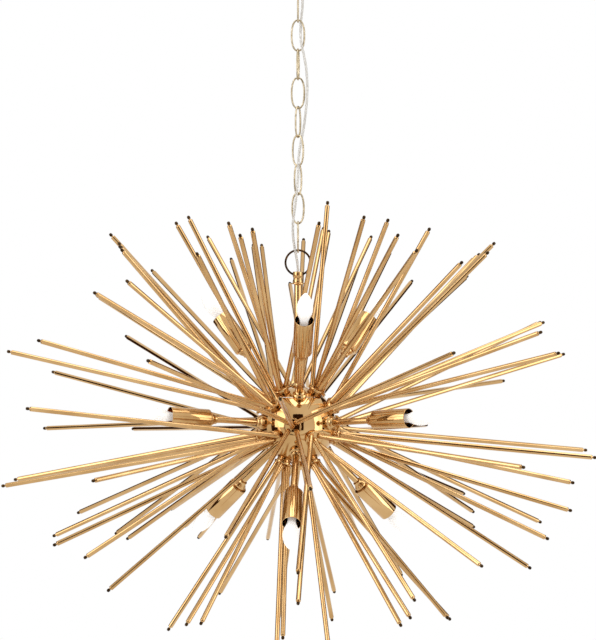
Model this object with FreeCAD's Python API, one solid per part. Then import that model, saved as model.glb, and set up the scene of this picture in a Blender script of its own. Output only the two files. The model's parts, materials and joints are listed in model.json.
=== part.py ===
"""A nine-light sputnik chandelier, hung from the ceiling by an oval-link chain.

Millimetres, +Z up, front towards -Y. The origin is the middle of the canopy's rim, at the ceiling,
and everything hangs below it. A ball hub carries nine candle-socket cups on arms, and bosses from
which slim rods splay in clusters. Each rod ends in a shoulder and a ball nub.
"""

import FreeCAD
import Part
import math
import os

from FreeCAD import Rotation, Vector

os.makedirs("parts", exist_ok=True)

UP = Vector(0, 0, 1)

# ---- clearances ----
seat_gap = 0.2          # round wire resting on round wire
slip_gap = 0.2          # a pipe, pin or wire in its hole, on the radius
face_gap = 0.1          # curved faces seated on each other

# ---- ceiling fitting ----
canopy_diameter = 130.0
canopy_depth = 26.0
canopy_rim = 4.0        # straight part of the spun edge
canopy_flat = 20.0      # radius of the flat at the bottom
canopy_wall = 1.2
crossbar_length = 112.0
crossbar_width = 20.0
crossbar_thickness = 2.0
box_screw_spacing = 88.9
box_screw_hole = 5.0
nipple_diameter = 10.0
nipple_bore = 6.0
locknut_width = 15.0
locknut_height = 4.0
canopy_nut_diameter = 26.0
canopy_nut_height = 6.0

# ---- loops: a round wire ring brazed to a turned collar, one at the ceiling and one on the stem ----
ring_diameter = 46.0
ring_wire = 3.5
collar_diameter = 18.0
collar_height = 19.0
collar_groove = 1.0     # depth of the turned groove round the collar
ring_sink = 8.0         # how far the ring's round dips past the collar's end
flex_bore_depth = 8.0
flex_lead = 6.0         # the flex runs straight this far outside each collar
nipple_bore_depth = 9.0

# ---- chain: welded oval links of round wire ----
link_length = 55.0
link_width = 24.5
link_wire = 3.0
# how far each link is turned about the vertical, from the top; the ring below the last is square on
link_turns = [90.0, 0.0, 82.0, 0.0, 68.0, -34.0, 57.0, -23.0, 90.0]

# ---- clear flex, woven down the chain from collar to collar ----
flex_diameter = 4.3
# each point: sideways, towards the back, and height above the middle of the hanging ring
flex_turns = [
    (3.0, 2.5, 474.6),
    (7.5, 6.5, 457.6),
    (8.0, 7.0, 436.6),
    (5.5, 6.5, 414.6),
    (4.0, 1.5, 393.6),
    (5.0, -5.5, 372.6),
    (10.5, -8.5, 350.6),
    (14.5, -7.5, 326.6),
    (16.0, -5.5, 300.6),
    (15.0, -5.0, 272.6),
    (12.0, 0.5, 244.6),
    (8.5, 5.5, 221.6),
    (3.5, 1.5, 198.6),
    (0.5, -6.0, 173.6),
    (0.5, -9.0, 148.6),
    (-1.5, -11.5, 124.6),
    (-4.5, -10.5, 98.6),
    (-8.5, -8.5, 72.6),
    (-9.0, -6.0, 50.6),
    (-7.0, -7.5, 32.6),
    (-4.5, -6.0, 18.6),
    (-1.8, -2.6, 4.6),
]
flex_cuts = [1, 8, 18]   # the runs in whose middle one stretch of flex meets the next

# ---- stem ----
lock_ring_diameter = 23.0
lock_ring_height = 2.5
stem_diameter = 13.0
stem_length = 168.0
neck_diameter = 22.0
neck_height = 7.0
centre_pipe_lap = 12.0   # how far the centre pipe runs up into the stem

# ---- ball hub ----
ball_diameter = 130.0
ball_wall = 2.5
seam_height = 48.0       # of the seam between ball and cap, above the middle
seam_gap = 0.6
hub_nut_width = 18.0
hub_nut_height = 5.0
washer_diameter = 34.0
washer_thickness = 2.0
finial_diameter = 20.0
finial_height = 14.0

# ---- sockets: three rings of three, each on an arm from the ball ----
# each ring: name, elevation, azimuth of its first socket from the front
socket_rings = [("upper", 51.0, 4.0), ("middle", 4.5, 52.5), ("lower", -41.5, -3.5)]
sockets_per_ring = 3
arm_diameter = 11.0
arm_length = 98.0        # from the ball's surface to the cup
arm_bore = 6.0
check_diameter = 24.0    # turned cap under each cup
check_height = 13.0
cup_diameter = 33.0
cup_length = 71.0
cup_wall = 1.2
holder_diameter = 22.0
holder_length = 50.0
holder_floor = 28.0
thread_gap = 0.5         # bulb cap in its holder, on the radius
bulb_cap_diameter = 11.9
bulb_cap_length = 22.0
bulb_contact_diameter = 5.0
bulb_contact_height = 1.6
bulb_neck_diameter = 14.0
bulb_diameter = 28.0
bulb_neck_length = 22.0
bulb_swell = 20.0        # from the neck to the widest place
bulb_taper = 34.0        # from the widest place to the tip
bulb_tip_radius = 2.5

# ---- rods: five from each boss, the bosses in rings round the ball ----
rod_diameter = 8.0
ferrule_diameter = 8.6   # sleeve at each rod's root
ferrule_length = 6.0
nub_neck_diameter = 3.8
nub_neck_length = 2.5
nub_diameter = 5.6
nub_length = 5.0
boss_diameter = 30.0     # turned button that the rods stand in
boss_waist_diameter = 24.0
boss_height = 8.0
boss_step = 4.5          # height of the wide part
rod_pitch = 10.2          # from the middle rod to each of the four round it
arm_boss_diameter = 24.0
arm_boss_height = 12.0
# the tips lie on a flattened globe round the ball
reach_wide = 515.0
reach_high = 385.0
# each ring: for each boss its azimuth, its elevation, and the places of its five tips as seen from the
# front: sideways from the stem, and up from the middle of the ball
rod_rings = {
    "crown": [
        (64, 60, [(165, 325), (110, 355), (50, 380), (195, 300), (150, 350)]),
        (-176, 60, [(10, 315), (45, 335), (55, 330), (130, 320), (-160, 320)]),
        (-56, 60, [(-75, 335), (35, 345), (-115, 345), (-185, 355), (-95, 325)]),
    ],
    "upper": [
        (-48, 33, [(-165, 295), (-205, 345), (-335, 230), (-430, 150), (-280, 250)]),
        (71, 28, [(320, 295), (220, 335), (270, 280), (400, 165), (430, 130)]),
        (101, 27, [(310, 285), (300, 250), (335, 310), (315, 290), (430, 170)]),
        (154, 27, [(205, 240), (110, 275), (165, 295), (370, 60), (-15, 235)]),
        (-146, 27, [(-260, 260), (-80, 305), (-65, 305), (-120, 280), (-355, 215)]),
        (-86, 27, [(-305, 310), (-300, 305), (-320, 325), (-495, 125), (-295, 300)]),
    ],
    "middle": [
        (-7.5, 0, [(-28, 68), (250, 137), (-240, 125), (-115, -155), (20, -75)]),
        (112.5, 0, [(465, 115), (315, -175), (425, 170), (425, -180), (500, -50)]),
        (-127.5, 0, [(-325, -210), (-310, 140), (-450, -20), (-300, -30), (-435, 80)]),
    ],
    "lower": [
        (-36, -18, [(-330, -70), (-445, 40), (-350, -205), (-405, -190), (-315, -265)]),
        (24, -18, [(190, -270), (365, -50), (0, -215), (0, -270), (300, -215)]),
        (84, -18, [(415, -180), (500, -50), (455, -85), (390, -235), (455, -135)]),
        (144, -18, [(315, -200), (300, -145), (235, -25), (185, -285), (110, -225)]),
        (-156, -18, [(-205, -205), (-305, -220), (-230, -175), (-55, -230), (-180, -225)]),
        (-96, -18, [(-485, -100), (-490, -100), (-390, -170), (-425, -200), (-505, -105)]),
    ],
    "foot": [
        (56.5, -66, [(170, -320), (250, -315), (185, -305), (50, -355), (255, -320)]),
        (176.5, -66, [(-35, -355), (-35, -325), (65, -315), (60, -355), (-140, -315)]),
        (-63.5, -66, [(-185, -320), (-160, -315), (-220, -345), (-35, -355), (-25, -340)]),
    ],
}

# ---- heights that follow from the sizes above ----
ball_radius = ball_diameter / 2
ring_radius = (ring_diameter - ring_wire) / 2
link_reach = (link_length - link_wire) / 2
link_pitch = link_length - 2 * link_wire - seat_gap
link_on_ring = (link_wire + ring_wire) / 2 + seat_gap
top_collar_z = -canopy_depth - canopy_nut_height
top_ring_z = top_collar_z - collar_height + ring_sink - ring_diameter / 2
first_link_z = top_ring_z - ring_radius + link_on_ring - link_reach
last_link_z = first_link_z - (len(link_turns) - 1) * link_pitch
stem_ring_z = last_link_z - link_reach + link_on_ring - ring_radius
stem_collar_z = stem_ring_z - ring_diameter / 2 + ring_sink
lock_ring_z = stem_collar_z - collar_height
stem_top_z = lock_ring_z - lock_ring_height
neck_z = stem_top_z - stem_length
# flats turned at the ball's poles seat the neck above and the finial below
pole = math.sqrt(ball_radius**2 - (neck_diameter / 2 + 1) ** 2)
ball_z = neck_z - neck_height - pole
ball_centre = Vector(0, 0, ball_z)


# ---- helpers ----
def turned(*outline):
    """A solid turned about Z. Each step is (radius, height), or two such pairs for an arc's middle and end."""
    edges = []
    here = None
    for step in outline:
        arc = isinstance(step[0], tuple)
        end = step[-1] if arc else step
        there = Vector(end[0], 0, end[1])
        if arc:
            middle = Vector(step[0][0], 0, step[0][1])
            edges.append(Part.Arc(here, middle, there).toShape())
        elif here is not None:
            edges.append(Part.LineSegment(here, there).toShape())
        here = there
    start = Vector(outline[0][0], 0, outline[0][1])
    edges.append(Part.LineSegment(here, start).toShape())
    return Part.Face(Part.Wire(edges)).revolve(Vector(0, 0, 0), UP, 360)


def rod(radius, length, z=0.0):
    return Part.makeCylinder(radius, length, Vector(0, 0, z))


def pipe(outer, bore, length, z=0.0):
    """A tube given by its diameters."""
    return rod(outer / 2, length, z).cut(rod(bore / 2, length + 2, z - 1))


def hexagon(width, height, z, bore):
    """A hexagon nut across its flats, with a bore."""
    corner = width / math.sqrt(3)
    points = []
    for i in range(7):
        angle = math.radians(60 * i)
        points.append(Vector(corner * math.cos(angle), corner * math.sin(angle), z))
    body = Part.Face(Part.makePolygon(points)).extrude(Vector(0, 0, height))
    return body.cut(rod(bore / 2, height + 2, z - 1))


def aim(azimuth, elevation):
    """Azimuth 0 is the front, -Y, and grows towards the right, +X."""
    a = math.radians(azimuth)
    e = math.radians(elevation)
    return Vector(math.cos(e) * math.sin(a), -math.cos(e) * math.cos(a), math.sin(e))


def placed(shape, base, direction):
    """A copy of a shape made about +Z, stood on base and pointing along direction."""
    copy = shape.copy()
    copy.Placement = FreeCAD.Placement(base, Rotation(UP, direction))
    return copy


def save(name, *shapes):
    solids = []
    for shape in shapes:
        solids.extend(shape.Solids)
    whole = solids[0] if len(solids) == 1 else Part.makeCompound(solids)
    whole.exportStep("parts/" + name + ".step")
    print(name, len(solids), "solids", round(sum(s.Volume for s in solids)), "mm3")


# ---- ceiling fitting ----
def canopy_profile(radius, depth, inset):
    """Half of the spun dome, from its rim to the flat at the bottom."""
    bend_r = (radius + canopy_flat) / 2 + (radius - canopy_flat) * 0.2
    bend_z = -canopy_rim - (depth - canopy_rim) * 0.65
    return [
        (radius, 0.0),
        (radius, -canopy_rim),
        ((bend_r, bend_z), (canopy_flat - inset, -depth)),
    ]


outer = canopy_profile(canopy_diameter / 2, canopy_depth, 0.0)
inner = canopy_profile(canopy_diameter / 2 - canopy_wall, canopy_depth - canopy_wall, canopy_wall / 2)
nipple_hole = nipple_diameter / 2 + slip_gap
dome = turned(*outer, (0.0, -canopy_depth), (0.0, 0.0))
hollow = turned(*inner, (0.0, -canopy_depth + canopy_wall), (0.0, 0.0))
save("canopy_dome", dome.cut(hollow).cut(rod(nipple_hole, canopy_depth + 2, -canopy_depth - 1)))

strap = Part.makeBox(
    crossbar_length,
    crossbar_width,
    crossbar_thickness,
    Vector(-crossbar_length / 2, -crossbar_width / 2, -crossbar_thickness),
)
strap = strap.cut(rod(nipple_hole, 3 * crossbar_thickness, -2 * crossbar_thickness))
for side in (-1, 1):
    hole = rod(box_screw_hole / 2, 3 * crossbar_thickness, -2 * crossbar_thickness)
    hole.translate(Vector(side * box_screw_spacing / 2, 0, 0))
    strap = strap.cut(hole)
save("canopy_crossbar", strap)

nipple_bottom = top_collar_z - nipple_bore_depth + 0.5
save("canopy_nipple", pipe(nipple_diameter, nipple_bore, -nipple_bottom - 0.5, nipple_bottom))
locknut_z = -crossbar_thickness - locknut_height
save("canopy_locknut", hexagon(locknut_width, locknut_height, locknut_z, 2 * nipple_hole))
save("canopy_nut", pipe(canopy_nut_diameter, 2 * nipple_hole, canopy_nut_height, top_collar_z))


# ---- loops ----
def torus(radius, wire, z):
    """A round wire ring that stands upright and faces the front."""
    return Part.makeTorus(radius, wire / 2, Vector(0, 0, z), Vector(0, 1, 0))


def collar():
    """Made with its ring end up, at height 0: a groove round it, and a blind bore for the flex."""
    r = collar_diameter / 2
    g = r - collar_groove
    body = turned(
        (0, -flex_bore_depth),
        (flex_diameter / 2 + slip_gap, -flex_bore_depth),
        (flex_diameter / 2 + slip_gap, 0),
        (r - 1.0, 0),
        (r, -1.0),
        (r, -collar_height * 0.45),
        (g, -collar_height * 0.55),
        (g, -collar_height * 0.7),
        (r, -collar_height * 0.8),
        (r, -collar_height),
        (0, -collar_height),
    )
    return body


def loop_ring(z, collar_end, toward):
    """The ring, with the part that would run through its collar cut away."""
    whole = torus(ring_radius, ring_wire, z)
    low = collar_end if toward > 0 else collar_end - ring_sink - 2
    keep_out = rod(collar_diameter / 2 + face_gap / 2, ring_sink + 2, low)
    return whole.cut(keep_out)


top_collar = collar()
nipple_seat = rod(nipple_hole, nipple_bore_depth + 1, -collar_height - 1)
top_collar = top_collar.cut(nipple_seat)
top_collar.rotate(Vector(0, 0, 0), Vector(1, 0, 0), 180)
top_collar.translate(Vector(0, 0, top_collar_z - collar_height))
save("canopy_loop_collar", top_collar)
save("canopy_loop_ring", loop_ring(top_ring_z, top_collar_z - collar_height, 1))

stem_collar = collar()
stem_collar.translate(Vector(0, 0, stem_collar_z))
save("stem_collar", stem_collar)
save("hanging_ring", loop_ring(stem_ring_z, stem_collar_z, -1))


# ---- chain ----
def chain_link(z, turn):
    """Two half rings joined by two straight wires."""
    bend = (link_width - link_wire) / 2
    straight = link_length - link_width
    wire = link_wire / 2
    half = Part.makeTorus(bend, wire, Vector(0, 0, 0), Vector(0, 1, 0))
    cutter = Part.makeBox(2 * link_width, 2 * link_width, link_width, Vector(-link_width, -link_width, 0))
    upper = half.common(cutter)
    lower = half.cut(cutter)
    upper.translate(Vector(0, 0, straight / 2))
    lower.translate(Vector(0, 0, -straight / 2))
    sides = []
    for side in (-1, 1):
        leg = rod(wire, straight, -straight / 2)
        leg.translate(Vector(side * bend, 0, 0))
        sides.append(leg)
    link = upper.multiFuse([lower] + sides)
    link.rotate(Vector(0, 0, 0), UP, turn)
    link.translate(Vector(0, 0, z))
    return link


links = []
for i, turn in enumerate(link_turns):
    links.append(chain_link(first_link_z - i * link_pitch, turn))
save("chain_link_top", links[0])
save("chain_run", *links[1:-1])
save("chain_link_bottom", links[-1])


# ---- flex ----
def bent_path(points):
    """Straight runs joined by tangent arcs, each as large as its two runs allow."""
    edges = []
    radii = []
    here = points[0]
    for before, corner, after in zip(points, points[1:], points[2:]):
        come = corner - before
        go = after - corner
        turn = come.getAngle(go)
        radius = 0.45 * min(come.Length, go.Length) / math.tan(turn / 2)
        trim = radius * math.tan(turn / 2)
        come = come.normalize()
        go = go.normalize()
        start = corner - come * trim
        end = corner + go * trim
        inward = (go - come).normalize()
        centre = corner + inward * (radius / math.cos(turn / 2))
        middle = centre - inward * radius
        edges.append(Part.LineSegment(here, start).toShape())
        edges.append(Part.Arc(start, middle, end).toShape())
        radii.append(radius)
        here = end
    edges.append(Part.LineSegment(here, points[-1]).toShape())
    return edges, radii


def flex_tube(name, points):
    edges, radii = bent_path(points)
    length = sum(e.Length for e in edges)
    along = (points[1] - points[0]).normalize()
    circle = Part.makeCircle(flex_diameter / 2, points[0], along)
    tube = Part.Wire(edges).makePipeShell([Part.Wire(circle)], True, False)
    plain = length * math.pi * flex_diameter**2 / 4
    print(name, "length", round(length, 1), "least radius", round(min(radii), 1), end=" ")
    print("volume over section times length", round(tube.Volume / plain, 4))
    save(name, tube)


flex_points = [
    Vector(0, 0, top_collar_z - collar_height + flex_bore_depth),
    Vector(0, 0, top_collar_z - collar_height - flex_lead),
]
for x, y, z in flex_turns:
    flex_points.append(Vector(x, y, stem_ring_z + z))
flex_points.append(Vector(0, 0, stem_collar_z + flex_lead))
flex_points.append(Vector(0, 0, stem_collar_z - flex_bore_depth))
first = 0
stretch = []
for number, cut in enumerate(flex_cuts + [None]):
    if cut is None:
        part = stretch + flex_points[first:]
    else:
        last = cut + 2
        meet = (flex_points[last] + flex_points[last + 1]) * 0.5
        part = stretch + flex_points[first : last + 1] + [meet]
        stretch = [meet]
        first = last + 1
    flex_tube("flex_" + str(number + 1), part)

# ---- stem ----
centre_bore = nipple_diameter + 2 * slip_gap
save("lock_ring", pipe(lock_ring_diameter, centre_bore, lock_ring_height, stem_top_z))
save("stem_pipe", pipe(stem_diameter, centre_bore, stem_length, neck_z))
neck = turned(
    (centre_bore / 2, 0),
    (neck_diameter / 2, 0),
    (neck_diameter / 2, neck_height * 0.5),
    (stem_diameter / 2 + 1, neck_height),
    (centre_bore / 2, neck_height),
)

# ---- ball hub ----
ball = Part.makeSphere(ball_radius)
inside = Part.makeSphere(ball_radius - ball_wall)
shell = ball.cut(inside)
above = Part.makeBox(
    2 * ball_diameter,
    2 * ball_diameter,
    ball_diameter,
    Vector(-ball_diameter, -ball_diameter, seam_height + seam_gap / 2),
)
below = Part.makeBox(
    2 * ball_diameter,
    2 * ball_diameter,
    2 * ball_diameter,
    Vector(-ball_diameter, -ball_diameter, seam_height - seam_gap / 2 - 2 * ball_diameter),
)
axis_hole = rod(centre_bore / 2, 2 * ball_diameter, -ball_diameter)
top_flat = rod(neck_diameter, ball_diameter, pole)
bottom_flat = rod(neck_diameter, ball_diameter, -pole - ball_diameter)
hub_cap = shell.common(above).cut(axis_hole).cut(top_flat)
hub_body = shell.common(below).cut(axis_hole).cut(bottom_flat)
hub_cap.translate(ball_centre)
hub_body.translate(ball_centre)
save("hub_cap", hub_cap)
save("hub_body", hub_body)
neck.translate(Vector(0, 0, ball_z + pole))
save("stem_neck", neck)

# the centre pipe ties it all together: washers and nuts grip both poles from inside
inside_flat = math.sqrt((ball_radius - ball_wall) ** 2 - (washer_diameter / 2) ** 2)
pipe_low = -pole - finial_height * 0.6
pipe_high = pole + neck_height + centre_pipe_lap
centre_pipe = pipe(nipple_diameter, nipple_bore, pipe_high - pipe_low, pipe_low)
centre_pipe.translate(ball_centre)
save("centre_pipe", centre_pipe)
washers = []
nuts = []
for side in (1, -1):
    low = inside_flat - face_gap - washer_thickness if side > 0 else -inside_flat + face_gap
    washer = pipe(washer_diameter, centre_bore, washer_thickness, low)
    washer.translate(ball_centre)
    washers.append(washer)
    low = low - hub_nut_height if side > 0 else low + washer_thickness
    nut = hexagon(hub_nut_width, hub_nut_height, low, centre_bore)
    nut.translate(ball_centre)
    nuts.append(nut)
save("hub_washers", *washers)
save("hub_nuts", *nuts)

finial_r = finial_diameter / 2
finial = turned(
    (0, -finial_height),
    (finial_r * 0.45, -finial_height),
    ((finial_r * 0.9, -finial_height * 0.75), (finial_r, -finial_height * 0.4)),
    (finial_r, 0),
    (centre_bore / 2, 0),
    (centre_bore / 2, -finial_height * 0.65),
    (0, -finial_height * 0.65),
)
finial.translate(Vector(0, 0, ball_z - pole))
save("hub_finial", finial)

# ---- sockets ----
socket_axes = []
for name, elevation, first in socket_rings:
    for i in range(sockets_per_ring):
        socket_axes.append(aim(first + i * 360 / sockets_per_ring, elevation))
cup_start = ball_radius + arm_length
ball_skin = Part.makeSphere(ball_radius + face_gap)
arm_r = arm_diameter / 2

arm = pipe(arm_diameter, arm_bore, arm_length + cup_wall + 5, ball_radius - 5).cut(ball_skin)
boss_bore = arm_r + slip_gap
arm_boss = turned(
    (boss_bore, ball_radius - 5),
    (arm_boss_diameter / 2, ball_radius - 5),
    (arm_boss_diameter / 2, ball_radius + arm_boss_height * 0.5),
    (arm_boss_diameter / 2 - 3, ball_radius + arm_boss_height * 0.6),
    (arm_boss_diameter / 2 - 3, ball_radius + arm_boss_height * 0.85),
    (arm_r + 1.5, ball_radius + arm_boss_height),
    (boss_bore, ball_radius + arm_boss_height),
).cut(ball_skin)
check = turned(
    (boss_bore, cup_start - check_height),
    (arm_r + 2.5, cup_start - check_height),
    (arm_r + 2.5, cup_start - check_height * 0.7),
    (check_diameter / 2, cup_start - check_height * 0.3),
    (check_diameter / 2, cup_start),
    (boss_bore, cup_start),
)
cup_r = cup_diameter / 2
cup = turned(
    (boss_bore, cup_start),
    (cup_r - 1.5, cup_start),
    (cup_r, cup_start + 1.5),
    (cup_r, cup_start + cup_length),
    (cup_r - cup_wall, cup_start + cup_length),
    (cup_r - cup_wall, cup_start + cup_wall),
    (boss_bore, cup_start + cup_wall),
)
holder_start = cup_start + cup_wall
holder_bore = bulb_cap_diameter / 2 + thread_gap
holder = turned(
    (0, holder_start),
    (holder_diameter / 2 - 2, holder_start),
    (holder_diameter / 2, holder_start + 4),
    (holder_diameter / 2, holder_start + holder_length),
    (holder_bore, holder_start + holder_length),
    (holder_bore, holder_start + holder_floor),
    (0, holder_start + holder_floor),
)
for name, shape in (
    ("socket_arms", arm),
    ("arm_bosses", arm_boss),
    ("cup_checks", check),
    ("socket_cups", cup),
    ("lampholders", holder),
):
    save(name, *[placed(shape, ball_centre, axis) for axis in socket_axes])

# ---- bulbs: frosted torpedo glass on a screw cap ----
bulb_seat = holder_start + holder_floor + seat_gap + bulb_contact_height
cap_r = bulb_cap_diameter / 2
contact_r = bulb_contact_diameter / 2
bulb_cap = turned(
    (0, -bulb_contact_height),
    (contact_r, -bulb_contact_height),
    (contact_r, 0),
    (cap_r, 3.0),
    (cap_r, bulb_cap_length),
    (0, bulb_cap_length),
)
neck_r = bulb_neck_diameter / 2
wide_r = bulb_diameter / 2
glass_start = bulb_cap_length
swell_start = glass_start + bulb_neck_length
widest = swell_start + bulb_swell
bulb_tip = widest + bulb_taper
bulb_glass = turned(
    (0, glass_start),
    (cap_r, glass_start),
    (neck_r, glass_start + 1.5),
    (neck_r, swell_start - 9),
    ((neck_r + (wide_r - neck_r) * 0.1, swell_start - 3), (neck_r + (wide_r - neck_r) * 0.4, swell_start + 3)),
    ((wide_r - (wide_r - neck_r) * 0.12, swell_start + bulb_swell * 0.55), (wide_r, widest)),
    ((wide_r * 0.74, widest + bulb_taper * 0.52), (bulb_tip_radius, bulb_tip - bulb_tip_radius * 0.8)),
    (bulb_tip_radius * 0.4, bulb_tip),
    (0, bulb_tip),
)
print("bulb tip from the middle of the ball", round(bulb_seat + bulb_tip, 1))
for number, axis in enumerate(socket_axes, 1):
    base = ball_centre + axis * bulb_seat
    save("bulb_glass_" + str(number), placed(bulb_glass, base, axis))
    save("bulb_cap_" + str(number), placed(bulb_cap, base, axis))

# ---- rods ----
face = ball_radius + boss_height
waist = face - boss_step
boss = turned(
    (0, ball_radius - 5),
    (boss_waist_diameter / 2, ball_radius - 5),
    (boss_waist_diameter / 2, waist - 1),
    (boss_diameter / 2, waist),
    (boss_diameter / 2, face - 1),
    (boss_diameter / 2 - 1, face),
    (0, face),
).cut(ball_skin)
root_depth = ferrule_diameter / 2


def rod_to(root, tip):
    """A rod with the ferrule at its root and the shoulder and nub at its tip."""
    length = (tip - root).Length
    shoulder = length - nub_neck_length - nub_length
    body = turned(
        (0, -root_depth),
        (ferrule_diameter / 2, -root_depth),
        (ferrule_diameter / 2, ferrule_length),
        (rod_diameter / 2, ferrule_length),
        (rod_diameter / 2, shoulder),
        (nub_neck_diameter / 2, shoulder),
        (nub_neck_diameter / 2, shoulder + nub_neck_length),
        (nub_diameter / 2, shoulder + nub_neck_length + nub_length * 0.4),
        (nub_diameter / 4, length),
        (0, length),
    )
    return placed(body, root, tip - root)


def tip_depth(sideways, up):
    """How far a tip on the flattened globe lies from the middle plane."""
    left = 1 - (sideways / reach_wide) ** 2 - (up / reach_high) ** 2
    return reach_wide * math.sqrt(max(left, 0))


rod_lengths = []
for ring, bosses in rod_rings.items():
    ring_bosses = []
    ring_rods = []
    for azimuth, elevation, tips in bosses:
        axis = aim(azimuth, elevation)
        across = aim(azimuth + 90, 0)
        upward = aim(azimuth, elevation + 90)
        ring_bosses.append(placed(boss, ball_centre, axis))
        front = -1 if axis.y < 0 else 1
        below = placed(rod(boss_diameter, face, 0), ball_centre, axis)
        for seat, (sideways, up) in enumerate(tips):
            root = ball_centre + axis * face
            if seat:
                turn = math.radians(90 * seat - 45)
                root += (across * math.cos(turn) + upward * math.sin(turn)) * rod_pitch
            tip = ball_centre + Vector(sideways, front * tip_depth(sideways, up), up)
            rod_lengths.append((tip - root).Length)
            ring_rods.append(rod_to(root, tip).cut(below))
    save("bosses_" + ring, *ring_bosses)
    save("rods_" + ring, *ring_rods)
print(len(rod_lengths), "rods", round(min(rod_lengths)), "to", round(max(rod_lengths)), "mm long")
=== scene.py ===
# %% [markdown]
# # A sputnik chandelier
# A polished brass ball carries nine candle sockets and a burst of slim rods, and hangs from the ceiling
# by a pipe stem, a ring and a chain of oval links, with a clear flex woven down through them. The packed
# model gives every solid and its place. This script gives them their look, in metres, +Z up, with the
# front towards -Y and the ceiling at height 0.

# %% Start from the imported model
import json
import math

import bpy
from mathutils import Matrix, Vector


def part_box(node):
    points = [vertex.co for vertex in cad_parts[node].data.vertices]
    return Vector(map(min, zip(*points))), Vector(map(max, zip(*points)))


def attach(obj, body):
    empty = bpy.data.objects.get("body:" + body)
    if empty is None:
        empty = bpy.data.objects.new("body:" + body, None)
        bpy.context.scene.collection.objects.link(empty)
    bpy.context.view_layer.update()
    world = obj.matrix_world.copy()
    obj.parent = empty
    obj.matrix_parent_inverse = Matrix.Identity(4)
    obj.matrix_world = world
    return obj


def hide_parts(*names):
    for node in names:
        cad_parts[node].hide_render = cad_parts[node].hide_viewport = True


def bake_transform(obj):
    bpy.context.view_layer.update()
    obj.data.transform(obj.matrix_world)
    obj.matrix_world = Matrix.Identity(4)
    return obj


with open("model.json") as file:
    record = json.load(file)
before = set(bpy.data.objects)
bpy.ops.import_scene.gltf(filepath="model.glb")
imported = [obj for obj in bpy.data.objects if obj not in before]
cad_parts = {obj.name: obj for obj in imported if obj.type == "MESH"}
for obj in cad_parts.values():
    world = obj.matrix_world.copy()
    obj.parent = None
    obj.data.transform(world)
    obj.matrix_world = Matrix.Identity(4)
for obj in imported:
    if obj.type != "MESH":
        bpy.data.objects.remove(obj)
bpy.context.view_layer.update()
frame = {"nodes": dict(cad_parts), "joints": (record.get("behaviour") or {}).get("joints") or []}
nodes = frame["nodes"]
scene = bpy.context.scene

# %% [markdown]
# ## Sizes
# Pieces are modelled in millimetres as the maker's drawing gives them and stood in the frame in metres.
# The middle of the ball is found from the top of its lower half, which ends just under the seam.

# %% Sizes
MM = 0.001
ball_radius = 65
seam_height = 48
seam_gap = 0.3
ball_centre = Vector((0, 0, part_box("hub_body")[1][2] + (seam_gap - seam_height) * MM))
print("middle of the ball", [round(v, 4) for v in ball_centre])

# %% [markdown]
# ## Camera
# The photograph was taken from far off, so the rods show hardly any perspective. The camera stands six
# and a half metres away, a little above the ball, and the frame is 1.09 m high at the ball.

# %% Camera
view_distance = 6.5
pixel_size = 1.7
frame_height = 640 * pixel_size * MM
elevation = math.radians(1.5)
aim_height = 178
sensor_height = 24
aim_point = ball_centre + Vector((0, 0, aim_height * MM))
camera_data = bpy.data.cameras.new("camera")
camera_data.sensor_fit = "VERTICAL"
camera_data.sensor_height = sensor_height
camera_data.lens = sensor_height * view_distance / frame_height
camera = bpy.data.objects.new("camera", camera_data)
scene.collection.objects.link(camera)
away = Vector((0, -math.cos(elevation), math.sin(elevation)))
camera.location = aim_point + away * view_distance
camera.rotation_euler = (math.pi / 2 - elevation, 0, 0)
scene.camera = camera
print("camera at", [round(v, 3) for v in camera.location], "lens", round(camera_data.lens), "mm")

# %% [markdown]
# ## Helpers for materials
# One function turns an sRGB hex value, as a paint chart gives it, into the linear numbers that the
# renderer works in. Another adds a node with its settings and links, so a material reads as a list.


# %% Helpers for materials
def linear(hex_value):
    """The linear colour of an sRGB hex value such as D6A968."""
    values = []
    for i in (0, 2, 4):
        s = int(hex_value[i : i + 2], 16) / 255
        values.append(s / 12.92 if s <= 0.04045 else ((s + 0.055) / 1.055) ** 2.4)
    return (*values, 1.0)


def add(tree, kind, inputs=(), **settings):
    """Adds a node. Each input is a socket's name or number and its value, or the socket that feeds it."""
    made = tree.nodes.new(kind)
    for name, value in settings.items():
        setattr(made, name, value)
    for key, value in dict(inputs).items():
        if isinstance(value, bpy.types.NodeSocket):
            tree.links.new(value, made.inputs[key])
        else:
            made.inputs[key].default_value = value
    return made


def new_material(name):
    """An empty node material and its output."""
    material = bpy.data.materials.new(name)
    material.use_nodes = True
    tree = material.node_tree
    tree.nodes.clear()
    return material, tree, add(tree, "ShaderNodeOutputMaterial")


def ramp(tree, factor, *stops):
    """A colour ramp. Each stop is a place from 0 to 1 and a linear colour or a grey."""
    made = add(tree, "ShaderNodeValToRGB", {"Fac": factor})
    elements = made.color_ramp.elements
    while len(elements) < len(stops):
        elements.new(0.5)
    for element, (place, value) in zip(elements, stops):
        element.position = place
        element.color = value if isinstance(value, tuple) else (value, value, value, 1)
    return made.outputs["Color"]


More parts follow.
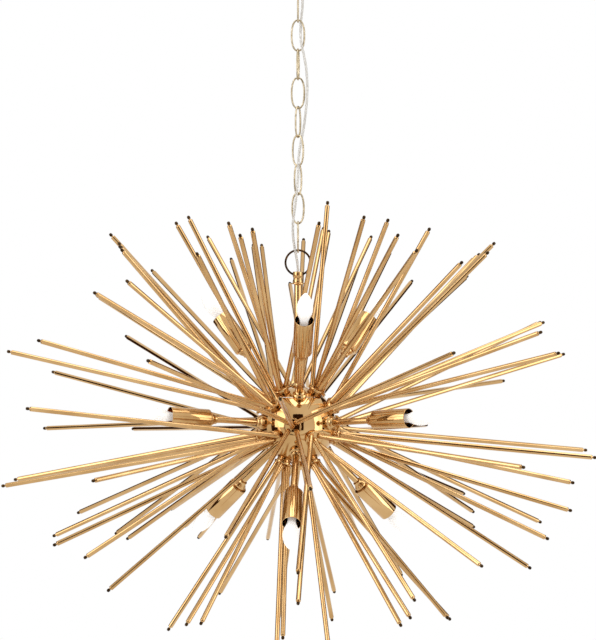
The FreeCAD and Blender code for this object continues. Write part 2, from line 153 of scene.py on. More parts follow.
def metal(name, light, dark, roughness, cloud_mm, scratch_mm, wear, relief=0.02):
    """A metal that is cloudy between two colours, with fine polishing marks in its gloss."""
    material, tree, output = new_material(name)
    place = add(tree, "ShaderNodeTexCoord").outputs["Object"]
    cloud = add(tree, "ShaderNodeTexNoise", {"Vector": place, "Scale": 1 / (cloud_mm * MM), "Detail": 4.0})
    colour = ramp(tree, cloud.outputs["Fac"], (0.35, linear(dark)), (0.65, linear(light)))
    mark = add(tree, "ShaderNodeTexNoise", {"Vector": place, "Scale": 1 / (scratch_mm * MM), "Detail": 2.0})
    gloss = add(
        tree,
        "ShaderNodeMapRange",
        {"Value": mark.outputs["Fac"], "To Min": roughness, "To Max": roughness + wear},
    )
    bump = add(
        tree,
        "ShaderNodeBump",
        {"Height": mark.outputs["Fac"], "Strength": relief, "Distance": 0.0002},
    )
    shader = add(
        tree,
        "ShaderNodeBsdfPrincipled",
        {
            "Base Color": colour,
            "Metallic": 1.0,
            "Roughness": gloss.outputs["Result"],
            "Normal": bump.outputs["Normal"],
        },
    )
    tree.links.new(shader.outputs["BSDF"], output.inputs["Surface"])
    return material


# %% [markdown]
# ## Metals
# Polished brass under clear lacquer: nearly a mirror, so most of what shows on it is the room. Its own
# colour is a warm yellow that turns deep orange brown where one piece reflects another. Its lacquer drifts in
# clouds some 70 mm across. Real polishing marks are finer than a pixel here and only made the thin rods
# sparkle, so the brass has none, and its gloss drifts over 40 mm instead. The wire, plated and browned
# pieces are small and less shiny, and have marks about a millimetre apart.

# %% Metals
polished_brass = metal("polished_brass", "D4AE7A", "BE9662", 0.05, 70, 40.0, 0.02, relief=0.0)
antique_brass = metal("antique_brass_wire", "DACBAF", "B0A080", 0.2, 9, 0.8, 0.12)
browned_tip = metal("browned_brass_tip", "4E3A22", "2E2114", 0.22, 9, 2.0, 0.08, relief=0.0)
dark_bronze = metal("dark_patinated_ring", "5A4028", "20150C", 0.24, 7, 0.6, 0.12)
zinc_steel = metal("zinc_plated_steel", "B9BBBB", "9A9D9E", 0.28, 12, 0.7, 0.12)
nickel_plate = metal("nickel_plated_cap", "C9C4B8", "B2ABA0", 0.2, 10, 0.7, 0.1)

# %% [markdown]
# ## Glass, plastic and flex
# The bulbs are etched inside, so the glass reads as a soft opaque white with a faint gloss on top. A slight
# glow is painted on: the glass gives off a little light in its own colour, though the bulb isn't lit. The
# lampholders are dark moulded phenolic, with a fine grain. The flex is clear vinyl over tinned strands.

# %% Glass, with a painted glow
frosted_glass, tree, output = new_material("inside_frosted_glass_painted_glow")
place = add(tree, "ShaderNodeTexCoord").outputs["Object"]
etch = add(tree, "ShaderNodeTexNoise", {"Vector": place, "Scale": 1 / (6 * MM), "Detail": 2.0})
bump = add(tree, "ShaderNodeBump", {"Height": etch.outputs["Fac"], "Strength": 0.03, "Distance": 0.0002})
tone = ramp(tree, etch.outputs["Fac"], (0.3, linear("F5F3F0")), (0.7, linear("FAF8F5")))
shader = add(
    tree,
    "ShaderNodeBsdfPrincipled",
    {
        "Base Color": tone,
        "Roughness": 0.32,
        "IOR": 1.5,
        "Transmission Weight": 0.0,
        "Coat Weight": 0.3,
        "Coat Roughness": 0.12,
        # painted glow: the unlit glass gives off light in its own colour
        "Emission Color": tone,
        "Emission Strength": 0.16,
        "Normal": bump.outputs["Normal"],
    },
)
tree.links.new(shader.outputs["BSDF"], output.inputs["Surface"])

# %% Phenolic plastic
phenolic, tree, output = new_material("moulded_phenolic")
place = add(tree, "ShaderNodeTexCoord").outputs["Object"]
grain = add(tree, "ShaderNodeTexNoise", {"Vector": place, "Scale": 900.0, "Detail": 3.0})
bump = add(tree, "ShaderNodeBump", {"Height": grain.outputs["Fac"], "Strength": 0.1, "Distance": 0.0002})
tone = ramp(tree, grain.outputs["Fac"], (0.3, linear("16120F")), (0.7, linear("2A221C")))
shader = add(
    tree,
    "ShaderNodeBsdfPrincipled",
    {"Base Color": tone, "Roughness": 0.4, "IOR": 1.6, "Normal": bump.outputs["Normal"]},
)
tree.links.new(shader.outputs["BSDF"], output.inputs["Surface"])

# %% Clear flex
clear_vinyl, tree, output = new_material("clear_vinyl_over_tinned_strands")
place = add(tree, "ShaderNodeTexCoord").outputs["Object"]
strand = add(tree, "ShaderNodeTexNoise", {"Vector": place, "Scale": 500.0, "Detail": 2.0})
bump = add(tree, "ShaderNodeBump", {"Height": strand.outputs["Fac"], "Strength": 0.15, "Distance": 0.0003})
tone = ramp(tree, strand.outputs["Fac"], (0.35, linear("C9C4BC")), (0.65, linear("F2EFEA")))
shader = add(
    tree,
    "ShaderNodeBsdfPrincipled",
    {
        "Base Color": tone,
        "Roughness": 0.2,
        "IOR": 1.52,
        "Transmission Weight": 0.45,
        "Normal": bump.outputs["Normal"],
    },
)
tree.links.new(shader.outputs["BSDF"], output.inputs["Surface"])

# %% [markdown]
# ## Every CAD node gets its finish
# The plated hardware inside the ball and behind the canopy keeps its CAD shape and only takes a finish here.
# The pieces that show are made again further on, with the edges and curves that catch the light.

# %% Finishes for the CAD nodes
finishes = {
    "bulb_glass": frosted_glass,
    "bulb_cap": nickel_plate,
    "flex": clear_vinyl,
    "lampholders": phenolic,
    "chain": antique_brass,
    "hanging_ring": dark_bronze,
    "canopy_crossbar": zinc_steel,
    "canopy_nipple": zinc_steel,
    "canopy_locknut": zinc_steel,
    "centre_pipe": zinc_steel,
    "hub_washers": zinc_steel,
    "hub_nuts": zinc_steel,
}
for name, node in nodes.items():
    finish = polished_brass
    for start, material in finishes.items():
        if name.startswith(start):
            finish = material
    node.data.materials.clear()
    node.data.materials.append(finish)
print("finishes given to", len(nodes), "nodes")

# %% [markdown]
# ## Flex
# The cord is one smooth line through the same turns as the CAD tube, in four stretches that meet where
# the chain may swing. Each is drawn as a NURBS curve of order 3 with a round bevel. It is then made a mesh
# tube, and the height of the joint above its end and a bend length are worked out and printed.

# %% Flex
flex_diameter = 4.3 * MM
bore_depth = Vector((0, 0, 8 * MM))
straight_lead = Vector((0, 0, 6 * MM))
ring_diameter = 46
top_exit = Vector((0, 0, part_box("canopy_loop_collar")[0][2]))
stem_entry = Vector((0, 0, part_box("stem_collar")[1][2]))
flex_turns = [
    (3.0, 2.5, 474.6),
    (7.5, 6.5, 457.6),
    (8.0, 7.0, 436.6),
    (5.5, 6.5, 414.6),
    (4.0, 1.5, 393.6),
    (5.0, -5.5, 372.6),
    (10.5, -8.5, 350.6),
    (14.5, -7.5, 326.6),
    (16.0, -5.5, 300.6),
    (15.0, -5.0, 272.6),
    (12.0, 0.5, 244.6),
    (8.5, 5.5, 221.6),
    (3.5, 1.5, 198.6),
    (0.5, -6.0, 173.6),
    (0.5, -9.0, 148.6),
    (-1.5, -11.5, 124.6),
    (-4.5, -10.5, 98.6),
    (-8.5, -8.5, 72.6),
    (-9.0, -6.0, 50.6),
    (-7.0, -7.5, 32.6),
    (-4.5, -6.0, 18.6),
    (-1.8, -2.6, 4.6),
]
ring_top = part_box("hanging_ring")[1][2]
ring_middle = Vector((0, 0, ring_top - ring_diameter / 2 * MM))
flex_points = [top_exit + bore_depth, top_exit - straight_lead]
flex_points += [ring_middle + Vector(point) * MM for point in flex_turns]
flex_points += [stem_entry + straight_lead, stem_entry - bore_depth]


def flex_curve(name, points):
    """A round cord along a smooth line."""
    data = bpy.data.curves.new(name, "CURVE")
    data.dimensions = "3D"
    data.bevel_depth = flex_diameter / 2
    data.bevel_resolution = 5
    data.use_fill_caps = True
    data.resolution_u = 10
    spline = data.splines.new("NURBS")
    spline.points.add(len(points) - 1)
    for spot, point in zip(spline.points, points):
        spot.co = (*point, 1)
    spline.order_u = 3
    spline.use_endpoint_u = True
    data.materials.append(clear_vinyl)
    curve = bpy.data.objects.new(name, data)
    scene.collection.objects.link(curve)
    return curve


def centre_line(curve):
    """The points along a curve's own line, measured without its bevel."""
    bare = curve.data.copy()
    bare.bevel_depth = 0
    probe = bpy.data.objects.new("probe", bare)
    scene.collection.objects.link(probe)
    mesh = bpy.data.meshes.new_from_object(probe.evaluated_get(bpy.context.evaluated_depsgraph_get()))
    spots = [v.co.copy() for v in mesh.vertices]
    bpy.data.objects.remove(probe)
    bpy.data.meshes.remove(mesh)
    return spots


# each stretch ends in the middle of this run of the turns, and the last at the stem
flex_cuts = [1, 8, 18, None]
longest_bend = 8 * MM
pivots = [Vector(joint["pos_m"]) for joint in frame["joints"][:4]]
stretch = []
first = 0
for number, cut in enumerate(flex_cuts):
    if cut is None:
        points = stretch + flex_points[first:]
    else:
        last = cut + 2
        meet = (flex_points[last] + flex_points[last + 1]) / 2
        points = stretch + flex_points[first : last + 1] + [meet]
        stretch = [meet]
        first = last + 1
    flex = flex_curve(f"flex_line_{number + 1}", points)
    path = centre_line(flex)
    bpy.ops.object.select_all(action="DESELECT")
    flex.select_set(True)
    bpy.context.view_layer.objects.active = flex
    bpy.ops.object.convert(target="MESH")
    bpy.ops.object.shade_smooth()
    pivot = pivots[number].z
    bend = min(longest_bend, pivot - points[-1].z)
    below = Vector((0, 0, pivot - bend))
    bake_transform(flex)
    print("joint at", round(pivot / MM), "end at", round(points[-1].z / MM), "bend", round(bend / MM, 1))
    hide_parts(f"flex_{number + 1}")

# %% [markdown]
# ## Turning
# Almost every piece of the light is turned or tube: round about one axis. By hand, that is a circle that is
# extruded and scaled from step to step. A profile of radius and height pairs drives the same two operators,
# holes are filled, and a small bevel catches the light on each edge.


# %% Turned pieces
def turned(name, sides, profile, bevel=0.3, ring=False):
    """A piece turned about +Z from (radius, height) steps in mm. A ring's profile closes on itself."""
    bpy.ops.object.select_all(action="DESELECT")
    radius, height = profile[0]
    bpy.ops.mesh.primitive_circle_add(vertices=sides, radius=radius * MM, location=(0, 0, height * MM))
    bpy.ops.object.transform_apply(location=True, rotation=False, scale=False)
    piece = bpy.context.object
    piece.name = name
    bpy.ops.object.mode_set(mode="EDIT")
    bpy.ops.mesh.select_all(action="SELECT")
    for (r0, z0), (r1, z1) in zip(profile, profile[1:]):
        bpy.ops.mesh.extrude_region_move(TRANSFORM_OT_translate={"value": (0, 0, (z1 - z0) * MM)})
        bpy.ops.transform.resize(value=(r1 / r0, r1 / r0, 1), center_override=(0, 0, z1 * MM))
    bpy.ops.mesh.select_all(action="SELECT")
    if ring:
        bpy.ops.mesh.remove_doubles(threshold=1e-6)
    else:
        bpy.ops.mesh.fill_holes(sides=0)
    bpy.ops.mesh.normals_make_consistent(inside=False)
    bpy.ops.object.mode_set(mode="OBJECT")
    if bevel:
        edge = piece.modifiers.new("edge", "BEVEL")
        edge.width = bevel * MM
        edge.segments = 2
        edge.limit_method = "ANGLE"
        edge.angle_limit = math.radians(28)
        bpy.ops.object.modifier_apply(modifier="edge")
    bpy.ops.object.shade_smooth_by_angle(angle=math.radians(50))
    return piece


def stood(piece, base, direction):
    """A copy with its own mesh, stood on base and pointing along direction."""
    copy = bpy.data.objects.new(piece.name, piece.data.copy())
    scene.collection.objects.link(copy)
    turn = Vector((0, 0, 1)).rotation_difference(direction)
    copy.data.transform(Matrix.Translation(base) @ turn.to_matrix().to_4x4())
    return copy


def joined(name, pieces):
    """The pieces as one object."""
    bpy.ops.object.select_all(action="DESELECT")
    for piece in pieces:
        piece.select_set(True)
    bpy.context.view_layer.objects.active = pieces[0]
    if len(pieces) > 1:
        bpy.ops.object.join()
    pieces[0].name = name
    return pieces[0]


def finished(piece, body, material, slot, *replaced):
    """Gives a piece its finish and its body, and hides the CAD nodes that it stands for."""
    piece.data.materials.clear()
    piece.data.materials.append(material)
    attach(piece, body)
    if replaced:
        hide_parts(*replaced)
    print(piece.name, len(piece.data.polygons), "faces")
    return piece


def aim(azimuth, elevation):
    """Azimuth 0 is the front, -Y, and grows towards the right, +X."""
    a = math.radians(azimuth)
    e = math.radians(elevation)
    return Vector((math.cos(e) * math.sin(a), -math.cos(e) * math.cos(a), math.sin(e)))


# %% [markdown]
# ## Ball hub
# Two spun shells meet at a fine seam above the middle. A sphere's poles pinch a mirror finish, so each shell
# is turned in many fine steps, rolled in at the seam and at the flats where the neck and the finial seat.

# %% Ball
pole_flat_radius = 12
pole_angle = math.degrees(math.acos(pole_flat_radius / ball_radius))
seam_angle = math.degrees(math.asin(seam_height / ball_radius))


def zone(low, high, steps):
    """Steps round the ball's skin between two angles above the middle."""
    angles = [math.radians(low + (high - low) * i / steps) for i in range(steps + 1)]
    return [(ball_radius * math.cos(a), ball_radius * math.sin(a)) for a in angles]


lower_skin = [(5.3, -63.9)] + zone(-pole_angle, seam_angle - 0.5, 90) + [(42.2, 47.4)]
upper_skin = [(42.2, 48.6)] + zone(seam_angle + 0.5, pole_angle, 24) + [(5.3, 63.9)]
for name, skin, node in (
    ("ball_lower_shell", lower_skin, "hub_body"),
    ("ball_cap_shell", upper_skin, "hub_cap"),
):
    shell = turned(name, 128, skin, bevel=0.25)
    shell.data.transform(Matrix.Translation(ball_centre))
    finished(shell, "fixture", polished_brass, "polished_brass", node)

# %% [markdown]
# ## Rods
# Each rod is a brass tube with a ferrule at its root, and a shoulder, a waist and a small round nub at its
# tip. One rod is turned, and every copy is drawn out between its two ends to its own length. The places of
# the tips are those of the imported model: five to a boss, told as they stand in the front view, in
# millimetres sideways from the stem and up from the middle of the ball.

# %% Where the rods stand
rod_rings = {
    "crown": [
        (64, 60, [(165, 325), (110, 355), (50, 380), (195, 300), (150, 350)]),
        (-176, 60, [(10, 315), (45, 335), (55, 330), (130, 320), (-160, 320)]),
        (-56, 60, [(-75, 335), (35, 345), (-115, 345), (-185, 355), (-95, 325)]),
    ],
    "upper": [
        (-48, 33, [(-165, 295), (-205, 345), (-335, 230), (-430, 150), (-280, 250)]),
        (71, 28, [(320, 295), (220, 335), (270, 280), (400, 165), (430, 130)]),
        (101, 27, [(310, 285), (300, 250), (335, 310), (315, 290), (430, 170)]),
        (154, 27, [(205, 240), (110, 275), (165, 295), (370, 60), (-15, 235)]),
        (-146, 27, [(-260, 260), (-80, 305), (-65, 305), (-120, 280), (-355, 215)]),
        (-86, 27, [(-305, 310), (-300, 305), (-320, 325), (-495, 125), (-295, 300)]),
    ],
    "middle": [
        (-7.5, 0, [(-28, 68), (250, 137), (-240, 125), (-115, -155), (20, -75)]),
        (112.5, 0, [(465, 115), (315, -175), (425, 170), (425, -180), (500, -50)]),
        (-127.5, 0, [(-325, -210), (-310, 140), (-450, -20), (-300, -30), (-435, 80)]),
    ],
    "lower": [
        (-36, -18, [(-330, -70), (-445, 40), (-350, -205), (-405, -190), (-315, -265)]),
        (24, -18, [(190, -270), (365, -50), (0, -215), (0, -270), (300, -215)]),
        (84, -18, [(415, -180), (500, -50), (455, -85), (390, -235), (455, -135)]),
        (144, -18, [(315, -200), (300, -145), (235, -25), (185, -285), (110, -225)]),
        (-156, -18, [(-205, -205), (-305, -220), (-230, -175), (-55, -230), (-180, -225)]),
        (-96, -18, [(-485, -100), (-490, -100), (-390, -170), (-425, -200), (-505, -105)]),
    ],
    "foot": [
        (56.5, -66, [(170, -320), (250, -315), (185, -305), (50, -355), (255, -320)]),
        (176.5, -66, [(-35, -355), (-35, -325), (65, -315), (60, -355), (-140, -315)]),
        (-63.5, -66, [(-185, -320), (-160, -315), (-220, -345), (-35, -355), (-25, -340)]),
    ],
}

# %% The pattern rod
pattern_length = 100
nub_start = 94.0
rod = turned(
    "rod",
    20,
    [
        (4.4, -3),
        (4.4, 5.2),
        (4.1, 6.0),
        (4.0, 6.2),
        (4.0, 91.6),
        (3.4, 92.4),
        (1.9, 92.6),
        (1.9, 94.2),
        (2.5, 94.8),
        (2.8, 96.2),
        (2.7, 98.0),
        (2.0, 99.4),
        (0.9, 100),
    ],
    bevel=0.12,
)
boss = turned(
    "boss",
    40,
    [
        (12, 63.6),
        (12, 67.2),
        (13.4, 68.5),
        (15, 68.8),
        (15, 72.0),
        (14.4, 72.8),
        (13.6, 73),
        (12.6, 72.7),
        (11.4, 73),
    ],
    bevel=0.25,
)
rod.data.materials.append(polished_brass)
rod.data.materials.append(browned_tip)
for face in rod.data.polygons:
    face.material_index = int(face.center.z > nub_start * MM)
print("pattern rod", len(rod.data.polygons), "faces, pattern boss", len(boss.data.polygons), "faces")


def drawn_out(pattern, length):
    """A copy of the pattern rod whose outer end is moved out to the wanted length."""
    copy = bpy.data.objects.new(pattern.name, pattern.data.copy())
    scene.collection.objects.link(copy)
    for vertex in copy.data.vertices:
        if vertex.co.z > pattern_length / 2 * MM:
            vertex.co.z += length - pattern_length * MM
    return copy


# %% Rods and bosses
face_height = 73
rod_pitch = 10.2
reach_wide, reach_high = 515, 385
for ring, bosses in rod_rings.items():
    ring_bosses = []
    ring_rods = []
    for azimuth, boss_elevation, tips in bosses:
        axis = aim(azimuth, boss_elevation)
        across = aim(azimuth + 90, 0)
        upward = aim(azimuth, boss_elevation + 90)
        ring_bosses.append(stood(boss, ball_centre, axis))
        front = -1 if axis.y < 0 else 1
        for seat, (sideways, up) in enumerate(tips):
            root = axis * face_height
            if seat:
                turn = math.radians(90 * seat - 45)
                root += (across * math.cos(turn) + upward * math.sin(turn)) * rod_pitch
            left = max(1 - (sideways / reach_wide) ** 2 - (up / reach_high) ** 2, 0)
            tip = Vector((sideways, front * reach_wide * math.sqrt(left), up))
            one = drawn_out(rod, (tip - root).length * MM)
            turn = Vector((0, 0, 1)).rotation_difference(tip - root)
            one.data.transform(Matrix.Translation(ball_centre + root * MM) @ turn.to_matrix().to_4x4())
            ring_rods.append(one)
    rods_look = joined("rod_burst_" + ring, ring_rods)
    tips_of = [face.material_index for face in rods_look.data.polygons]
    finished(rods_look, "fixture", polished_brass, "polished_brass", "rods_" + ring)
    rods_look.data.materials.append(browned_tip)
    rods_look.data.polygons.foreach_set("material_index", tips_of)
    bosses_look = joined("boss_ring_" + ring, ring_bosses)
    finished(bosses_look, "fixture", polished_brass, "polished_brass", "bosses_" + ring)
for pattern in (rod, boss):
    bpy.data.objects.remove(pattern)

# %% [markdown]
# ## Sockets
# Nine arms carry a turned check, a thin spun cup and a dark lampholder inside it. They are round about the
# socket's axis, so each is turned once with its heights told from the middle of the ball, and aimed nine
# ways: three rings of three.

# %% Sockets
socket_axes = []
for ring_elevation, first_azimuth in ((51.0, 4.0), (4.5, 52.5), (-41.5, -3.5)):
    for i in range(3):
        socket_axes.append(aim(first_azimuth + i * 120, ring_elevation))

socket_pieces = {
    "socket_arms": (
        "arm_tubes",
        [(5.5, 63), (5.5, 169.1), (3, 169.1), (3, 63), (5.5, 63)],
        32,
        polished_brass,
        "polished_brass",
    ),
    "arm_bosses": (
        "arm_root_collars",
        [
            (5.7, 63.6),
            (12, 63.9),
            (12, 70.4),
            (11.2, 71.2),
            (9.2, 72.2),
            (9, 75.0),
            (8.4, 75.8),
            (7.2, 76.9),
            (5.7, 77),
            (5.7, 63.6),
        ],
        40,
        polished_brass,
        "polished_brass",
    ),
    "cup_checks": (
        "turned_checks",
        [
            (5.7, 150),
            (7.6, 150),
            (8, 150.6),
            (8, 153.6),
            (8.6, 154.6),
            (11.2, 158.2),
            (12, 159.2),
            (12, 162.2),
            (11.4, 162.9),
            (5.7, 162.9),
            (5.7, 150),
        ],
        40,
        polished_brass,
        "polished_brass",
    ),
    "socket_cups": (
        "spun_cups",
        [
            (5.7, 163),
            (14.6, 163),
            (15.9, 163.5),
            (16.5, 164.8),
            (16.5, 233.2),
            (16.3, 233.8),
            (15.9, 234),
            (15.4, 233.7),
            (15.3, 233.2),
            (15.3, 164.4),
            (5.7, 164.2),
            (5.7, 163),
        ],
        56,
        polished_brass,
        "polished_brass",
    ),
    "lampholders": (
        "phenolic_holders",
        [
            (9, 164.3),
            (10.6, 166),
            (11, 168.2),
            (11, 212.6),
            (10.4, 214.0),
            (9.4, 214.2),
            (7.4, 213.8),
            (6.5, 213.0),
            (6.45, 192.3),
            (9, 192.2),
            (9, 164.3),
        ],
        40,
        phenolic,
        "holder_plastic",
    ),
}
for node, (name, profile, sides, material, slot) in socket_pieces.items():
    pattern = turned(name, sides, profile, bevel=0.2, ring=True)
    copies = [stood(pattern, ball_centre, axis) for axis in socket_axes]
    bpy.data.objects.remove(pattern)
    finished(joined(name, copies), "fixture", material, slot, node)

# %% [markdown]
# ## Bulbs
# Torpedo candle bulbs: a frosted envelope that swells from a narrow neck and draws to a point, on a small
# screw cap with its rolled thread, insulator and contact. The envelope is turned in few steps and rounded by
# one level of subdivision.

# %% Bulbs
bulb_seat = 194.0
envelope = turned(
    "envelope",
    32,
    [
        (5.9, 22.0),
        (6.9, 23.2),
        (7.0, 26.0),
        (7.0, 34.5),
        (7.5, 40.0),
        (9.2, 45.5),
        (11.6, 51.5),
        (13.3, 57.5),
        (14.0, 64.0),
        (13.6, 71.0),
        (12.3, 77.5),
        (10.2, 83.5),
        (7.4, 89.2),
        (4.6, 93.6),
        (2.4, 96.6),
        (1.0, 98.0),
    ],
    bevel=0,
)
rounding = envelope.modifiers.new("rounding", "SUBSURF")
rounding.levels = 1
rounding.render_levels = 1
bpy.ops.object.modifier_apply(modifier="rounding")
thread_start = 4.5
thread_pitch = 2.4
thread = []
for i in range(6):
    height = thread_start + i * thread_pitch
    thread += [(5.45, height), (5.9, height + 0.7), (5.9, height + 1.3), (5.45, height + 2.0)]
screw_cap = turned(
    "screw_cap",
    28,
    [(2.0, -1.6), (2.5, -1.3), (2.5, 0), (3.4, 0.1), (5.0, 2.2)]
    + thread
    + [(5.9, 19.4), (5.9, 21.6), (5.6, 22)],
    bevel=0,
)
for number, axis in enumerate(socket_axes, 1):
    base = ball_centre + axis * bulb_seat * MM
    glass = stood(envelope, base, axis)
    glass.name = f"bulb_envelope_{number}"
    finished(glass, f"bulb_{number}", frosted_glass, "frosted_glass", f"bulb_glass_{number}")
    cap = stood(screw_cap, base, axis)
    cap.name = f"bulb_screw_cap_{number}"
    finished(cap, f"bulb_{number}", nickel_plate, "nickel_cap", f"bulb_cap_{number}")
bpy.data.objects.remove(envelope)
bpy.data.objects.remove(screw_cap)

# %% [markdown]
# ## Stem and ceiling fitting
# The stem's pieces are turned about the light's own axis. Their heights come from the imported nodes, so each
# profile is told from the bottom or the top of its node's box.

# %% Stem and ceiling pieces
stem_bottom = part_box("stem_pipe")[0][2] / MM
stem_length = 168
neck_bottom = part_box("stem_neck")[0][2] / MM
lock_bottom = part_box("lock_ring")[0][2] / MM
collar_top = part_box("stem_collar")[1][2] / MM
upper_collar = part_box("canopy_loop_collar")[0][2] / MM
nut_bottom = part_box("canopy_nut")[0][2] / MM
finial_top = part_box("hub_finial")[1][2] / MM


def collar_profile(end, way):
    """The turned collar that holds a loop: way is -1 where its ring end is up, 1 where it is down."""
    steps = [
        (2.4, 0),
        (7.6, 0),
        (8.6, 0.4),
        (9, 1.4),
        (9, 8.2),
        (8.4, 9.4),
        (8, 10.2),
        (8, 13.2),
        (8.4, 14.2),
        (9, 15.4),
        (9, 18.6),
        (8.6, 19),
        (5.4, 19),
        (5.4, 14),
        (2.4, 14),
        (2.4, 0),
    ]
    return [(r, end + way * h) for r, h in steps]


axis_pieces = [
    (
        "stem_tube",
        "stem_pipe",
        "fixture",
        [(6.5, 0.0), (6.5, stem_length), (5.2, stem_length), (5.2, 0), (6.5, 0)],
        stem_bottom,
    ),
    (
        "stem_foot",
        "stem_neck",
        "fixture",
        [(5.2, 0), (10.4, 0), (11, 0.6), (11, 3), (10.4, 4), (8.2, 6.2), (7.4, 7), (5.2, 7), (5.2, 0)],
        neck_bottom,
    ),
    (
        "knurled_lock_ring",
        "lock_ring",
        "fixture",
        [(5.2, 0), (10.9, 0), (11.5, 0.5), (11.5, 2), (10.9, 2.5), (5.2, 2.5), (5.2, 0)],
        lock_bottom,
    ),
    ("stem_loop_collar", "stem_collar", "fixture", collar_profile(collar_top, -1), 0),
    ("ceiling_loop_collar", "canopy_loop_collar", "ceiling_fitting", collar_profile(upper_collar, 1), 0),
    (
        "canopy_screw_collar",
        "canopy_nut",
        "ceiling_fitting",
        [(5.2, 0), (11.6, 0), (12.6, 0.6), (13, 1.6), (13, 5.4), (12.6, 6), (5.2, 6), (5.2, 0)],
        nut_bottom,
    ),
    (
        "ball_finial",
        "hub_finial",
        "fixture",
        [
            (5.2, 0),
            (9.8, 0),
            (10, -0.5),
            (10, -5),
            (9.6, -7.6),
            (8.6, -10),
            (7, -12.2),
            (5.2, -13.6),
            (4.0, -14),
            (1.0, -14),
            (1.0, -9.2),
            (5.2, -9.2),
            (5.2, 0),
        ],
        finial_top,
    ),
]
for name, node, body, profile, base in axis_pieces:
    piece = turned(name, 64, [(r, base + h) for r, h in profile], bevel=0.2, ring=True)
    finished(piece, body, polished_brass, "polished_brass", node)

# %% [markdown]
# ## Canopy
# The canopy is spun from one disc over a form, so its wall is even, and it curves in a single sweep from a
# short straight lip to the flat where its collar sits. Each face of the wall is an arc through three points.


# %% Canopy
def arc(start, middle, end, steps):
    """Steps along the circle through three points of a profile."""
    (ax, ay), (bx, by), (cx, cy) = start, middle, end
    d = 2 * (ax * (by - cy) + bx * (cy - ay) + cx * (ay - by))
    a2, b2, c2 = ax * ax + ay * ay, bx * bx + by * by, cx * cx + cy * cy
    x = (a2 * (by - cy) + b2 * (cy - ay) + c2 * (ay - by)) / d
    y = (a2 * (cx - bx) + b2 * (ax - cx) + c2 * (bx - ax)) / d
    first = math.atan2(ay - y, ax - x)
    last = math.atan2(cy - y, cx - x)
    radius = math.hypot(ax - x, ay - y)
    angles = [first + (last - first) * i / steps for i in range(steps + 1)]
    return [(x + radius * math.cos(angle), y + radius * math.sin(angle)) for angle in angles]


dome_outer = [(65.0, -0.6)] + arc((65.0, -4.0), (51.5, -18.3), (20.0, -26.0), 18)
dome_inner = arc((19.4, -24.8), (50.7, -17.5), (63.8, -4.0), 18) + [(63.8, -0.6)]
dome = turned(
    "spun_canopy",
    112,
    [(64.4, 0.0)] + dome_outer + [(5.3, -26.0), (5.3, -24.8)] + dome_inner + [(64.4, 0.0)],
    bevel=0,
    ring=True,
)
finished(dome, "ceiling_fitting", polished_brass, "polished_brass", "canopy_dome")

# %% [markdown]
# ## Rings and chain
# A torus is the wire ring. A chain link is a circle pulled out to an oval, flattened a little along its
# sides and swollen a little where its wire is welded on one of them.

# %% Rings
ring_wire = 3.5
for name, node, body, material, slot, top in (
    ("ceiling_loop", "canopy_loop_ring", "ceiling_fitting", polished_brass, "polished_brass", False),
    ("dark_hanging_ring", "hanging_ring", "fixture", dark_bronze, "dark_brass", True),
):
    low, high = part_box(node)
    half = ring_diameter / 2 * MM
    middle = high[2] - half if top else low[2] + half
    bpy.ops.object.select_all(action="DESELECT")
    bpy.ops.mesh.primitive_torus_add(
        major_radius=(ring_diameter - ring_wire) / 2 * MM,
        minor_radius=ring_wire / 2 * MM,
        major_segments=96,
        minor_segments=20,
        location=(0, 0, middle),
        rotation=(math.pi / 2, 0, 0),
    )
    bpy.ops.object.transform_apply()
    bpy.ops.object.shade_smooth()
    ring = bpy.context.object
    ring.name = name
    finished(ring, body, material, slot, node)

# %% Chain
link_length, link_width, link_wire = 55.0, 24.5, 3.0
seat_gap = 0.2
link_turns = [90.0, 0.0, 82.0, 0.0, 68.0, -34.0, 57.0, -23.0, 90.0]
side_pull, end_pull = 1.28, 1.05
weld_swell = 1.1
bpy.ops.object.select_all(action="DESELECT")
bpy.ops.curve.primitive_bezier_circle_add(radius=1, rotation=(math.pi / 2, 0, 0))
link = bpy.context.object
link.name = "link"
link.scale = ((link_width - link_wire) / 2 * MM, (link_length - link_wire) / 2 * MM, 1)
bpy.ops.object.transform_apply()
link.data.resolution_u = 14
link.data.bevel_depth = link_wire / 2 * MM
link.data.bevel_resolution = 6
points = link.data.splines[0].bezier_points
for point in points:
    point.handle_left_type = "FREE"
    point.handle_right_type = "FREE"
    longer = side_pull if abs(point.co.x) > link_wire * MM else end_pull
    point.handle_left = point.co + (point.handle_left - point.co) * longer
    point.handle_right = point.co + (point.handle_right - point.co) * longer
    point.radius = weld_swell if point.co.x > link_wire * MM else 1.0
bpy.ops.object.convert(target="MESH")
bpy.ops.object.shade_smooth()
link_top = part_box("chain_link_top")[1][2]
link_pitch = (link_length - 2 * link_wire - seat_gap) * MM
copies = []
for i, turn in enumerate(link_turns):
    copy = bpy.data.objects.new("link", link.data.copy())
    scene.collection.objects.link(copy)
    height = link_top - link_length / 2 * MM - i * link_pitch
    copy.data.transform(Matrix.Translation((0, 0, height)) @ Matrix.Rotation(math.radians(turn), 4, "Z"))
    copies.append(copy)
bpy.data.objects.remove(link)
copies[0].name = "top_chain_link"
finished(copies[0], "top_link", antique_brass, "antique_brass", "chain_link_top")
finished(joined("hanging_chain", copies[1:-1]), "chain", antique_brass, "antique_brass", "chain_run")
copies[-1].name = "bottom_chain_link"
finished(copies[-1], "bottom_link", antique_brass, "antique_brass", "chain_link_bottom")

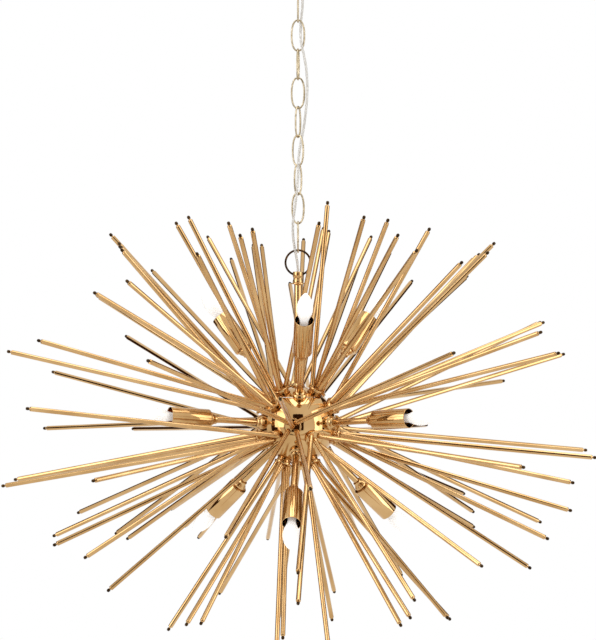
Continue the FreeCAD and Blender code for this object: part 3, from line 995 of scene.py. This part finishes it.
# %% [markdown]
# ## Studio
# A white room with a pale floor and large soft lamps. Polished brass has no look of its own: it shows the
# white room, the lamps and, as its dark lines, the dark cloths that are hung round such a set, called
# flags. Rays from the camera, off metal and through glass see floor and world as plain white. The rays that
# only light the object get a little less from the world, and a pale grey floor that takes its shadow. The
# floor shows from above only, so that the light can be seen from below too. One flag hangs between the
# camera and the light, two at the sides and two behind. Together they fill almost half of the horizon. The
# camera doesn't see them and they cast no shadow, so they show in reflections only.


# %% Rays that see
def seen_rays(tree):
    """1 for a ray from the camera, off a gloss or through glass, and 0 for a ray that only lights."""
    path = add(tree, "ShaderNodeLightPath")
    straight = add(
        tree,
        "ShaderNodeMath",
        {0: path.outputs["Is Camera Ray"], 1: path.outputs["Is Transmission Ray"]},
        operation="MAXIMUM",
    )
    seen = add(
        tree,
        "ShaderNodeMath",
        {0: straight.outputs[0], 1: path.outputs["Is Glossy Ray"]},
        operation="MAXIMUM",
    )
    return seen.outputs[0]


# %% Floor and backdrop
white = (1, 1, 1, 1)
white_room, tree, output = new_material("white_room")
paint = add(tree, "ShaderNodeBsdfDiffuse", {"Color": (0.8, 0.8, 0.8, 1)})
glow = add(tree, "ShaderNodeEmission", {"Color": white, "Strength": 1.0})
mix = add(tree, "ShaderNodeMixShader", {0: seen_rays(tree), 1: paint.outputs[0], 2: glow.outputs[0]})
below = add(tree, "ShaderNodeNewGeometry").outputs["Backfacing"]
clear = add(tree, "ShaderNodeBsdfTransparent")
one_sided = add(tree, "ShaderNodeMixShader", {0: below, 1: mix.outputs[0], 2: clear.outputs[0]})
tree.links.new(one_sided.outputs[0], output.inputs["Surface"])
bpy.ops.object.select_all(action="DESELECT")
floor_size, floor_height = 14, -1.75
bpy.ops.mesh.primitive_plane_add(size=floor_size, location=(0, 0, floor_height))
floor = bpy.context.object
floor.name = "floor"
floor.data.materials.append(white_room)

# %% World
world = bpy.data.worlds.new("studio")
scene.world = world
world.use_nodes = True
tree = world.node_tree
tree.nodes.clear()
fill_light = 0.85
lighting = add(tree, "ShaderNodeBackground", {"Color": white, "Strength": fill_light})
backdrop = add(tree, "ShaderNodeBackground", {"Color": white, "Strength": 1.0})
sky = add(
    tree,
    "ShaderNodeMixShader",
    {0: seen_rays(tree), 1: lighting.outputs[0], 2: backdrop.outputs[0]},
)
add(tree, "ShaderNodeOutputWorld", {"Surface": sky.outputs[0]})
print("world white to the eye, its light at", fill_light)

# %% Flags
flag_cloth, tree, output = new_material("brown_flag_cloth")
cloth = add(tree, "ShaderNodeBsdfDiffuse", {"Color": linear("3A2412")})
tree.links.new(cloth.outputs[0], output.inputs["Surface"])
flag_distance = 3.6
flag_height = 5.0
flags = (
    ("flag_front", 0, 2.2),
    ("flag_left", -76, 1.5),
    ("flag_right", 76, 1.5),
    ("flag_back_left", -132, 3.0),
    ("flag_back_right", 132, 3.0),
)
for name, bearing, width in flags:
    bpy.ops.object.select_all(action="DESELECT")
    bpy.ops.mesh.primitive_plane_add(size=1)
    flag = bpy.context.object
    flag.name = name
    flag.scale = (width, flag_height, 1)
    turn = math.radians(bearing)
    flag.location = ball_centre + Vector((math.sin(turn), -math.cos(turn), 0)) * flag_distance
    flag.rotation_euler = (math.radians(90), 0, turn)
    flag.data.materials.append(flag_cloth)
    flag.visible_camera = False
    flag.visible_diffuse = False
    flag.visible_transmission = False
    flag.visible_shadow = False
print("flags hung:", len(flags))

# %% Lamps
def softbox(name, place, size, power):
    """A rectangular area lamp that faces the ball."""
    data = bpy.data.lights.new(name, "AREA")
    data.shape = "RECTANGLE"
    data.size = size[0]
    data.size_y = size[1]
    data.energy = power
    lamp = bpy.data.objects.new(name, data)
    scene.collection.objects.link(lamp)
    lamp.location = place
    lamp.rotation_euler = (ball_centre - Vector(place)).to_track_quat("-Z", "Y").to_euler()
    print(name, "at", round((ball_centre - Vector(place)).length, 2), "m,", power, "W")


softbox("left_box", (-2.6, -1.6, 0.2), (1.8, 2.8), 42)
softbox("right_box", (2.6, -1.2, -0.2), (1.4, 2.8), 32)
softbox("top_box", (0.2, -0.4, 2.0), (2.2, 1.6), 30)

# %% [markdown]
# ## Finish
# Colours are shown as they are, with no film look.

# %% Finish
scene.view_settings.view_transform = "Standard"
